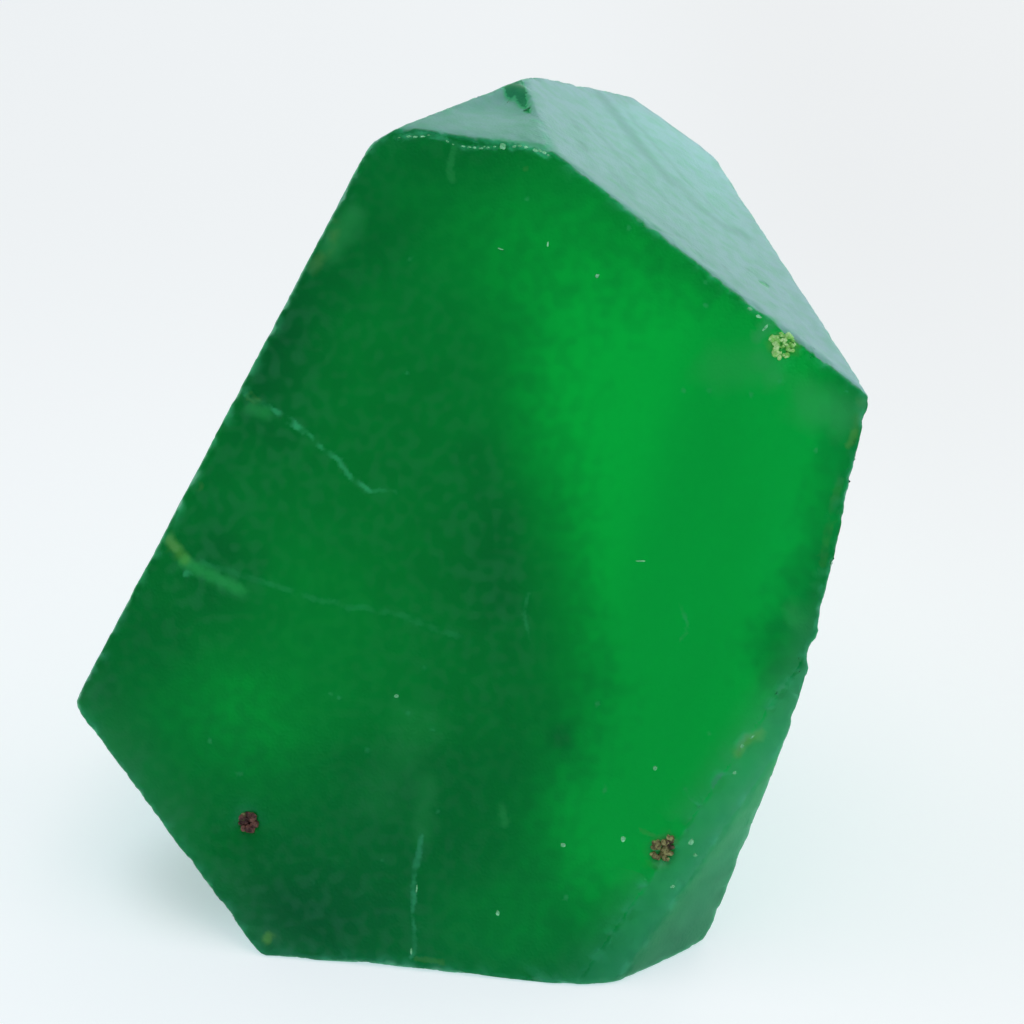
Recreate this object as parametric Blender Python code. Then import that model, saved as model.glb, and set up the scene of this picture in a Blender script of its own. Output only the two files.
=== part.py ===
"""Raw emerald crystal: one stubby, worn piece of beryl with flat faces, standing on a broken base.

The script works in metres, +Z up. The crystal rests on z = 0, its box is centred on the origin, and its
broad front face looks toward -Y. The sizes in the tables are in millimetres.

The flat faces are cut from a block one after another. The surface is then divided, finer along the worn
edges and around the pits, and each point is moved in to a weathered surface: the flat faces with a slight
unevenness, rounded edges, and round scoops for the chips, nicks, pits and hollows.
"""

import math
import random
from collections import namedtuple

import bmesh
import bpy
from mathutils import Vector, noise

MM = 0.001
SEED = 11

BLOCK = 90.0  # side of the block that the faces are cut from
GRID = 2.4  # spacing of the points on a flat face
UNEVEN_STEP = 0.16  # how far a grid line may stray, as a share of the spacing
EDGE_BANDS = (0.30, 1.00)  # depths of the lines that follow every edge
NICK_GRID = 0.85  # spacing of the points along a nicked edge
NICK_REACH = 0.9  # how far from a nicked edge that finer spacing goes
SCOOP_LINES = 3  # fine grid lines on each side of a scoop's middle
SHORTEST_EDGE = 0.12  # points closer than this are joined
RELAX_STEPS = 3  # how often the points inside a flat face are evened out
UNFOLD_STEPS = 8
FOLD_LIMIT = 0.15  # the least that two neighbouring triangles' normals may agree
SETTLE_STEPS = 5
SHAPING_DEPTH = 2.5  # a face deeper than this under a point doesn't shape it
SCOOP_MARGIN = 0.6  # a scoop shapes the points this far outside its sphere
EDGE_RADIUS = 0.08  # softness of the edges where they are sharpest
EDGE_WEAR = 0.16  # what the most worn stretches add to it

# A face looks along its bearing (degrees from -Y toward +X) and its tilt (degrees above the horizon), at
# its reach from the origin. Its unevenness is a height, over humps as wide as the grain.
Facet = namedtuple("Facet", "bearing tilt reach unevenness grain")
FACETS = {
    "front": Facet(-9.5, 22.0, 15.1, 0.05, 9.0),
    "roof_right": Facet(89.0, 56.5, 33.9, 0.07, 7.0),
    "roof_left": Facet(31.0, 83.0, 38.1, 0.05, 5.0),
    "toe": Facet(38.5, -11.5, 17.8, 0.10, 4.0),
    "toe_bevel": Facet(6.5, 12.0, 17.65, 0.08, 3.0),
    "base": Facet(0.0, -90.0, 0.0, 0.0, 5.0),
    "right_low": Facet(101.0, -16.5, 9.15, 0.12, 6.0),
    "right_high": Facet(102.5, 11.0, 22.3, 0.10, 6.0),
    "left_high": Facet(-102.0, 26.0, 20.4, 0.10, 7.0),
    "left_low": Facet(-92.5, -41.5, 7.1, 0.14, 6.0),
    "crown_left": Facet(-127.5, 54.0, 32.4, 0.12, 5.0),
    "back_crown": Facet(-141.0, 37.5, 26.9, 0.18, 6.0),
    "back_high": Facet(172.0, 6.0, 21.0, 0.10, 6.0),
    "back_notch": Facet(168.0, -11.0, 11.8, 0.16, 7.0),
    "back_low": Facet(-172.0, -26.0, 7.9, 0.20, 6.0),
}

# A corner where three faces meet, knocked off by a small flat cut at a depth below the corner.
WornCorner = namedtuple("WornCorner", "first second third depth")
WORN_CORNERS = {
    "corner_left_top": WornCorner("front", "left_high", "crown_left", 0.25),
    "corner_west": WornCorner("front", "left_high", "left_low", 0.35),
    "corner_right": WornCorner("front", "roof_right", "right_low", 0.08),
    "corner_heel": WornCorner("base", "toe", "right_low", 0.45),
}

# A round scoop on a face, at a place across (to the right of someone facing it) and up the face from the
# point nearest the origin.
Scoop = namedtuple("Scoop", "facet across up width depth")
SCOOPS = {
    "pit_brown_left": Scoop("front", -8.6, 0.4, 1.25, 0.45),
    "pit_brown_right": Scoop("front", 12.2, 0.8, 1.15, 0.40),
    "pit_small": Scoop("front", 13.5, 1.2, 0.60, 0.18),
    "chip_yellow": Scoop("front", 16.4, 25.7, 1.90, 0.28),
    "roof_dish": Scoop("roof_left", 0.6, 5.0, 7.0, 0.20),
    "crown_dip": Scoop("crown_left", -4.1, 19.5, 4.6, 0.22),
    "notch_right": Scoop("right_low", -15.4, 19.3, 1.10, 0.32),
    "notch_toe": Scoop("right_low", -16.4, 8.6, 1.30, 0.30),
    "scar_back": Scoop("back_notch", 3.0, 7.0, 10.0, 0.70),
    "scar_low": Scoop("back_low", -3.0, 4.0, 8.0, 0.60),
    "scar_left": Scoop("left_high", 4.0, 6.0, 7.0, 0.35),
    "scar_right": Scoop("right_low", -5.0, 12.0, 6.0, 0.30),
}

# A growth ledge: the part of a face past a line sinks by its drop. The line runs square to its heading
# (degrees from across the face toward up it), at its place along that heading.
Ledge = namedtuple("Ledge", "facet heading place drop")
LEDGES = (
    Ledge("left_high", 205.0, 4.0, 0.34),
    Ledge("left_high", 196.0, 8.0, 0.26),
    Ledge("right_low", 12.0, 3.5, 0.36),
    Ledge("right_low", 4.0, 8.0, 0.24),
    Ledge("back_crown", 262.0, 3.0, 0.42),
    Ledge("back_notch", 80.0, 13.0, 0.40),
    Ledge("back_notch", 66.0, 4.0, 0.28),
    Ledge("back_low", -60.0, 3.0, 0.45),
)
LEDGE_WIDTH = 0.32  # how far a ledge's riser spreads
LEDGE_WAVE = 0.45  # how far a ledge wanders from its straight line

# The two faces on either side of each nicked edge, with the nicks' mean spacing and largest depth.
NickedEdge = namedtuple("NickedEdge", "first second spacing depth")
NICKED_EDGES = (
    NickedEdge("front", "roof_right", 1.3, 0.20),
    NickedEdge("front", "roof_left", 1.1, 0.22),
    NickedEdge("front", "right_low", 1.6, 0.22),
    NickedEdge("front", "left_high", 2.6, 0.16),
    NickedEdge("front", "left_low", 2.8, 0.14),
    NickedEdge("toe", "right_low", 1.8, 0.22),
    NickedEdge("roof_right", "right_high", 1.8, 0.22),
    NickedEdge("back_notch", "back_crown", 2.2, 0.30),
    NickedEdge("back_high", "back_crown", 2.2, 0.25),
)

GREEN = (0.006, 0.215, 0.045, 1.0)
ROUGHNESS = 0.35
BERYL_IOR = 1.58


def clear_scene():
    for thing in list(bpy.data.objects):
        bpy.data.objects.remove(thing, do_unlink=True)


def facing(bearing, tilt):
    """The unit vector that looks along a bearing and a tilt in degrees."""
    turn = math.radians(bearing)
    lift = math.radians(tilt)
    return Vector((math.sin(turn) * math.cos(lift), -math.cos(turn) * math.cos(lift), math.sin(lift)))


def directions_on(normal):
    """The two directions in a face: across it, level, and up it."""
    level = Vector((0.0, 0.0, 1.0)).cross(normal)
    across = level.normalized() if level.length > 0.01 else Vector((1.0, 0.0, 0.0))
    return across, normal.cross(across)


def meeting_point(planes):
    """The point that three (normal, reach) planes share."""
    (n1, r1), (n2, r2), (n3, r3) = planes
    total = n2.cross(n3) * r1 + n3.cross(n1) * r2 + n1.cross(n2) * r3
    return total / n1.dot(n2.cross(n3))


def all_planes():
    """{name: (normal, reach)} of the flat faces and the worn corners."""
    planes = {name: (facing(facet.bearing, facet.tilt), facet.reach) for name, facet in FACETS.items()}
    for name, worn in WORN_CORNERS.items():
        sides = [planes[worn.first], planes[worn.second], planes[worn.third]]
        corner = meeting_point(sides)
        outward = sum((normal for normal, reach in sides), Vector()).normalized()
        planes[name] = (outward, corner.dot(outward) - worn.depth)
    return planes


def slice_faces(mesh, faces, point, direction):
    """Divides the faces where the plane through the point crosses them."""
    edges = list({edge for face in faces for edge in face.edges})
    corners = list({corner for face in faces for corner in face.verts})
    bmesh.ops.bisect_plane(mesh, geom=faces + edges + corners, plane_co=point, plane_no=direction)


def cut_flat_faces(mesh, planes, facet_of):
    """Cuts the block to the planes, and labels each face with the number of its plane."""
    for number, (normal, reach) in enumerate(planes.values()):
        everything = mesh.verts[:] + mesh.edges[:] + mesh.faces[:]
        cut = bmesh.ops.bisect_plane(
            mesh, geom=everything, plane_co=normal * reach, plane_no=normal, clear_outer=True
        )
        rim = [item for item in cut["geom_cut"] if isinstance(item, bmesh.types.BMEdge)]
        cap = bmesh.ops.edgeloop_fill(mesh, edges=rim)["faces"][0]
        cap[facet_of] = number


def shared_edge(mesh, facet_of, first, second):
    """The two ends of the edge between two numbered faces."""
    for edge in mesh.edges:
        if {face[facet_of] for face in edge.link_faces} == {first, second}:
            return edge.verts[0].co.copy(), edge.verts[1].co.copy()
    raise ValueError("these faces share no edge")


def nicks_along(ends, nicked, planes, chance):
    """(centre, radius) of the small scoops along one edge, which bite into it from outside."""
    start, end = ends
    outward = (planes[nicked.first][0] + planes[nicked.second][0]).normalized()
    length = (end - start).length
    scoops = []
    along = chance.uniform(0.3, 1.0) * nicked.spacing
    while along < length - 0.4:
        depth = nicked.depth * chance.uniform(0.25, 1.0)
        radius = depth * chance.uniform(2.0, 4.5)
        place = start.lerp(end, along / length)
        scoops.append((place + outward * (radius - depth), radius))
        along += nicked.spacing * chance.uniform(0.4, 1.6)
    return scoops


def place_on(scoop, planes):
    normal, reach = planes[scoop.facet]
    across, up = directions_on(normal)
    return normal * reach + across * scoop.across + up * scoop.up


def named_scoops(planes):
    """(centre, radius) of the scoops in the table."""
    scoops = []
    for scoop in SCOOPS.values():
        radius = (scoop.width**2 / 4 + scoop.depth**2) / (2 * scoop.depth)
        normal = planes[scoop.facet][0]
        scoops.append((place_on(scoop, planes) + normal * (radius - scoop.depth), radius))
    return scoops


def divide_surface(mesh, planes, facet_of, edges, chance):
    """Divides the flat faces: bands along the edges, a loose grid inside, and finer lines where needed."""
    for normal, reach in planes.values():
        for band in EDGE_BANDS:
            slice_faces(mesh, mesh.faces[:], normal * (reach - band), normal)
    for (start, end), nicked in zip(edges, NICKED_EDGES):
        divide_near_edge(mesh, start, end)
    for number, (normal, reach) in enumerate(planes.values()):
        for direction in directions_on(normal):
            divide_evenly(mesh, facet_of, number, direction, chance)
    for ledge in LEDGES:
        divide_ledge(mesh, ledge, planes, facet_of)
    for scoop in SCOOPS.values():
        divide_scoop(mesh, scoop, planes)


def divide_near_edge(mesh, start, end):
    along = (end - start).normalized()
    count = int((end - start).length / NICK_GRID)
    for step in range(1, count):
        point = start.lerp(end, step / count)
        near = [face for face in mesh.faces if edge_distance(face, start, along) < NICK_REACH]
        slice_faces(mesh, near, point, along)


def edge_distance(face, start, along):
    """How far a face's middle is from the line through a point."""
    offset = face.calc_center_median() - start
    return (offset - along * offset.dot(along)).length


def divide_evenly(mesh, facet_of, number, direction, chance):
    """Slices the numbered face at about even steps along the direction."""
    own = [face for face in mesh.faces if face[facet_of] == number]
    reaches = [corner.co.dot(direction) for face in own for corner in face.verts]
    step = math.ceil(min(reaches) / GRID)
    while step * GRID < max(reaches):
        reach = (step + chance.uniform(-UNEVEN_STEP, UNEVEN_STEP)) * GRID
        faces = [face for face in mesh.faces if face[facet_of] == number]
        slice_faces(mesh, faces, direction * reach, direction)
        step += 1


def heading_of(ledge, planes):
    across, up = directions_on(planes[ledge.facet][0])
    turn = math.radians(ledge.heading)
    return across * math.cos(turn) + up * math.sin(turn)


def divide_ledge(mesh, ledge, planes, facet_of):
    """Slices a face on both sides of a ledge's riser."""
    number = list(planes).index(ledge.facet)
    heading = heading_of(ledge, planes)
    for side in (-0.5, 0.5):
        faces = [face for face in mesh.faces if face[facet_of] == number]
        slice_faces(mesh, faces, heading * (ledge.place + side * LEDGE_WIDTH), heading)


def wander(point, ledge):
    """How far a ledge has left its straight line beside a point."""
    return LEDGE_WAVE * noise.noise(point * 0.3 + Vector((ledge.heading, ledge.place, 0.0)))


def bend_ledges(corners, planes):
    """Moves the points beside each riser with its wandering line, and gives the set of them."""
    moved = set()
    for corner, name in corners:
        for ledge in LEDGES:
            heading = heading_of(ledge, planes)
            if ledge.facet == name and abs(corner.co.dot(heading) - ledge.place) < LEDGE_WIDTH:
                corner.co += heading * wander(corner.co, ledge)
                moved.add(corner)
                break
    return moved


def divide_scoop(mesh, scoop, planes):
    """Slices the face under a scoop finely enough to hold its round shape."""
    place = place_on(scoop, planes)
    normal = planes[scoop.facet][0]
    step = max(scoop.width / 5, 0.2)
    reach_out = 0.75 * scoop.width + 0.5
    for direction in directions_on(normal):
        for line in range(-SCOOP_LINES, SCOOP_LINES + 1):
            near = [face for face in mesh.faces if (face.calc_center_median() - place).length < reach_out]
            slice_faces(mesh, near, place + direction * line * step, direction)


def tidy_triangles(mesh, planes, facet_of):
    """Joins close points, makes triangles, and evens them out without leaving the flat faces."""
    bmesh.ops.triangulate(mesh, faces=mesh.faces[:])
    join_close_points(mesh)
    names = list(planes)
    inside = []
    for corner in mesh.verts:
        numbers = {face[facet_of] for face in corner.link_faces}
        if len(numbers) == 1:
            inside.append((corner, names[numbers.pop()]))
    fixed = bend_ledges(inside, planes)
    loose = [corner for corner, name in inside if corner not in fixed]
    for step in range(RELAX_STEPS):
        bmesh.ops.smooth_vert(
            mesh, verts=loose, factor=0.5, use_axis_x=True, use_axis_y=True, use_axis_z=True
        )
    free = set(loose)
    level = [edge for edge in mesh.edges if free & set(edge.verts) and not fixed & set(edge.verts)]
    bmesh.ops.beautify_fill(mesh, faces=mesh.faces[:], edges=level, method="AREA")


def join_close_points(mesh):
    """Collapses the edges that are too short, a few apart from each other at a time."""
    chosen = [None]
    while chosen:
        chosen = []
        taken = set()
        for edge in mesh.edges:
            if edge.calc_length() < SHORTEST_EDGE and can_collapse(edge):
                around = neighbours(edge.verts[0]) | neighbours(edge.verts[1])
                if not around & taken:
                    chosen.append(edge)
                    taken |= around
        bmesh.ops.collapse(mesh, edges=chosen)


def neighbours(corner):
    return {edge.other_vert(corner) for edge in corner.link_edges}


def can_collapse(edge):
    """Whether the surface stays closed and simple without this edge."""
    return len(neighbours(edge.verts[0]) & neighbours(edge.verts[1])) == 2


def unfold(mesh):
    """Evens out the few slivers that the weathering folded over."""
    for step in range(UNFOLD_STEPS):
        mesh.normal_update()
        folded = [edge for edge in mesh.edges if is_folded(edge)]
        corners = {corner for edge in folded for face in edge.link_faces for corner in face.verts}
        for corner in corners:
            near = [other.co for other in neighbours(corner)]
            corner.co = corner.co.lerp(sum(near, Vector()) / len(near), 0.5)


def is_folded(edge):
    first, second = edge.link_faces
    return first.normal.dot(second.normal) < FOLD_LIMIT


def humps(point, number, facet):
    """How far a face's unevenness sinks it at a point."""
    if not facet or not facet.unevenness:
        return 0.0
    offset = Vector((31.0, 17.0, 5.0)) * number
    broad = noise.noise(point / facet.grain + offset)
    narrow = noise.noise(point * 2.7 / facet.grain - offset)
    return facet.unevenness * (broad + 0.4 * narrow)


def ledge_drop(point, name, planes):
    """How far a face's ledges sink it at a point."""
    drop = 0.0
    for ledge in LEDGES:
        if ledge.facet == name:
            past = point.dot(heading_of(ledge, planes)) - ledge.place - wander(point, ledge)
            share = min(max(past / LEDGE_WIDTH + 0.5, 0.0), 1.0)
            drop += ledge.drop * share * share * (3.0 - 2.0 * share)
    return drop


def weathered(point, planes, scoops):
    """(height, slope) of the weathered surface's field at a point: it is negative inside the crystal."""
    wear = 0.5 + 0.5 * noise.noise(point * 0.35)
    softness = EDGE_RADIUS + EDGE_WEAR * wear * wear
    terms = []
    for number, (name, (normal, reach)) in enumerate(planes.items()):
        height = point.dot(normal) - reach
        if height > -SHAPING_DEPTH:
            sunk = humps(point, number, FACETS.get(name)) + ledge_drop(point, name, planes)
            terms.append((height + sunk, normal))
    for centre, radius in scoops:
        offset = point - centre
        if offset.length < radius + SCOOP_MARGIN:
            terms.append((radius - offset.length, -offset.normalized()))
    highest = max(height for height, slope in terms)
    weights = [math.exp((height - highest) / softness) for height, slope in terms]
    total = sum(weights)
    slope = sum((normal * weight for (height, normal), weight in zip(terms, weights)), Vector()) / total
    return highest + softness * math.log(total), slope


def settle(point, planes, scoops):
    """Moves a point in to the weathered surface."""
    for step in range(SETTLE_STEPS):
        height, slope = weathered(point, planes, scoops)
        point = point - slope * (height / max(slope.length_squared, 0.2))
    return point


def crystal_mesh():
    chance = random.Random(SEED)
    planes = all_planes()
    mesh = bmesh.new()
    bmesh.ops.create_cube(mesh, size=BLOCK)
    facet_of = mesh.faces.layers.int.new("facet")
    cut_flat_faces(mesh, planes, facet_of)
    numbers = {name: number for number, name in enumerate(planes)}
    edges = [
        shared_edge(mesh, facet_of, numbers[nicked.first], numbers[nicked.second]) for nicked in NICKED_EDGES
    ]
    scoops = named_scoops(planes)
    for ends, nicked in zip(edges, NICKED_EDGES):
        scoops += nicks_along(ends, nicked, planes, chance)
    divide_surface(mesh, planes, facet_of, edges, chance)
    tidy_triangles(mesh, planes, facet_of)
    for corner in mesh.verts:
        corner.co = settle(corner.co, planes, scoops)
    unfold(mesh)
    rest_on_base(mesh)
    return mesh


def rest_on_base(mesh):
    """Makes the base's middle exactly flat at z = 0, and centres the crystal's box on the origin."""
    for corner in mesh.verts:
        if corner.co.z < 0.02:
            corner.co.z = 0.0
    for axis in (0, 1):
        places = [corner.co[axis] for corner in mesh.verts]
        middle = (min(places) + max(places)) / 2
        for corner in mesh.verts:
            corner.co[axis] -= middle


def emerald_material():
    material = bpy.data.materials.new("emerald")
    material.use_nodes = True
    shader = material.node_tree.nodes["Principled BSDF"]
    shader.inputs["Base Color"].default_value = GREEN
    shader.inputs["Roughness"].default_value = ROUGHNESS
    shader.inputs["Metallic"].default_value = 0.0
    shader.inputs["IOR"].default_value = BERYL_IOR
    return material


def build():
    clear_scene()
    mesh = crystal_mesh()
    bmesh.ops.scale(mesh, vec=(MM, MM, MM), verts=mesh.verts[:])
    bmesh.ops.recalc_face_normals(mesh, faces=mesh.faces[:])
    data = bpy.data.meshes.new("emerald_crystal")
    mesh.to_mesh(data)
    mesh.free()
    data.materials.append(emerald_material())
    crystal = bpy.data.objects.new("emerald_crystal", data)
    bpy.context.scene.collection.objects.link(crystal)


build()
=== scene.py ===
"""A raw emerald crystal: its weathered surface, the mineral grains in its pits, their finishes, the floor,
the light and the camera. Shapes are worked out in millimetres and stored in metres."""

import math
import random
from collections import namedtuple

import bmesh
import bpy
from mathutils import Euler, Matrix, Vector, kdtree, noise
from mathutils.bvhtree import BVHTree


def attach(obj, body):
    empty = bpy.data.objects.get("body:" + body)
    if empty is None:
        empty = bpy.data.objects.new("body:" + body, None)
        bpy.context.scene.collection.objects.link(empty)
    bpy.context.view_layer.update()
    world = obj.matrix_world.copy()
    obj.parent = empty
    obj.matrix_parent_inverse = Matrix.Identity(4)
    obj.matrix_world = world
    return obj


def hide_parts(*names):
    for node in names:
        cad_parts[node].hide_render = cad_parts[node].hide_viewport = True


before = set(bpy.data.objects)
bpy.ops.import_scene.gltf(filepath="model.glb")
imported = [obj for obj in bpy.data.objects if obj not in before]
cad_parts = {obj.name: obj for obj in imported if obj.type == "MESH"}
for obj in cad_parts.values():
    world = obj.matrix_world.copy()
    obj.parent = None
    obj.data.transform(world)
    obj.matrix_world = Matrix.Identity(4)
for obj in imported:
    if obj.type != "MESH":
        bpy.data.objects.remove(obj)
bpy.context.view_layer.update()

MM = 0.001
SEED = 7

# The camera looks down at the crystal, which stands on the floor.
CAMERA_AIM = (2.40, -5.24, 20.0)
CAMERA_DISTANCE = 141.6
CAMERA_PITCH = 25.18
CAMERA_LENS = 100.0
SENSOR = 36.0

# The flat faces. Bearing 0 faces the front and 90 the right; frost is how thick the dull skin is, from 0 for
# a clear face to 1 for a chalky one; grain is the depth of its fine roughness in mm.
Facet = namedtuple("Facet", "bearing tilt frost grain")
FACETS = {
    "front": Facet(-9.5, 22.0, 0.0, 0.006),
    "roof_right": Facet(89.0, 56.5, 1.0, 0.016),
    "roof_left": Facet(31.0, 83.0, 0.84, 0.014),
    "toe": Facet(38.5, -11.5, 0.15, 0.010),
    "toe_bevel": Facet(6.5, 12.0, 0.19, 0.008),
    "base": Facet(0.0, -90.0, 0.50, 0.0),
    "right_low": Facet(101.0, -16.5, 0.42, 0.022),
    "right_high": Facet(102.5, 11.0, 0.60, 0.022),
    "left_high": Facet(-102.0, 26.0, 0.42, 0.022),
    "left_low": Facet(-92.5, -41.5, 0.38, 0.022),
    "crown_left": Facet(-127.5, 54.0, 0.60, 0.030),
    "back_crown": Facet(-141.0, 37.5, 0.60, 0.035),
    "back_high": Facet(172.0, 6.0, 0.60, 0.035),
    "back_notch": Facet(168.0, -11.0, 0.50, 0.040),
    "back_low": Facet(-172.0, -26.0, 0.45, 0.040),
}

# Faces with growth lines: how many lines to the mm, how deep they are, and the heading in degrees that they
# are square to, from across the face toward up it.
GROWTH_LINES = {
    "roof_right": (1.3, 0.007, -42.0),
    "right_low": (1.1, 0.060, 8.0),
    "right_high": (1.1, 0.055, 8.0),
    "left_high": (1.0, 0.060, -6.0),
    "left_low": (1.0, 0.050, -6.0),
    "back_notch": (0.9, 0.055, 12.0),
    "back_high": (0.9, 0.050, 4.0),
}

# Shell-shaped breaks on the sides and the back: the face, where the blow fell on it (across, up), the
# radius, how deep the break is and the space between its ripples, in mm.
ShellBreak = namedtuple("ShellBreak", "face across up radius depth ripple")
SHELL_BREAKS = (
    ShellBreak("back_high", 3.5, 14.5, 4.6, 0.42, 1.10),
    ShellBreak("back_notch", 1.0, 7.5, 5.2, 0.36, 1.30),
    ShellBreak("back_low", -4.5, 5.5, 4.2, 0.30, 1.00),
    ShellBreak("right_high", 2.0, 9.0, 3.6, 0.30, 0.95),
    ShellBreak("right_low", -6.0, 12.5, 4.4, 0.32, 1.10),
    ShellBreak("left_high", 4.0, 6.0, 4.0, 0.30, 1.00),
)

# Faces whose dull skin is worn through in patches.
PATCHY_FACES = (
    "right_low", "right_high", "left_high", "left_low", "crown_left",
    "back_crown", "back_high", "back_notch", "back_low",
)

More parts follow.
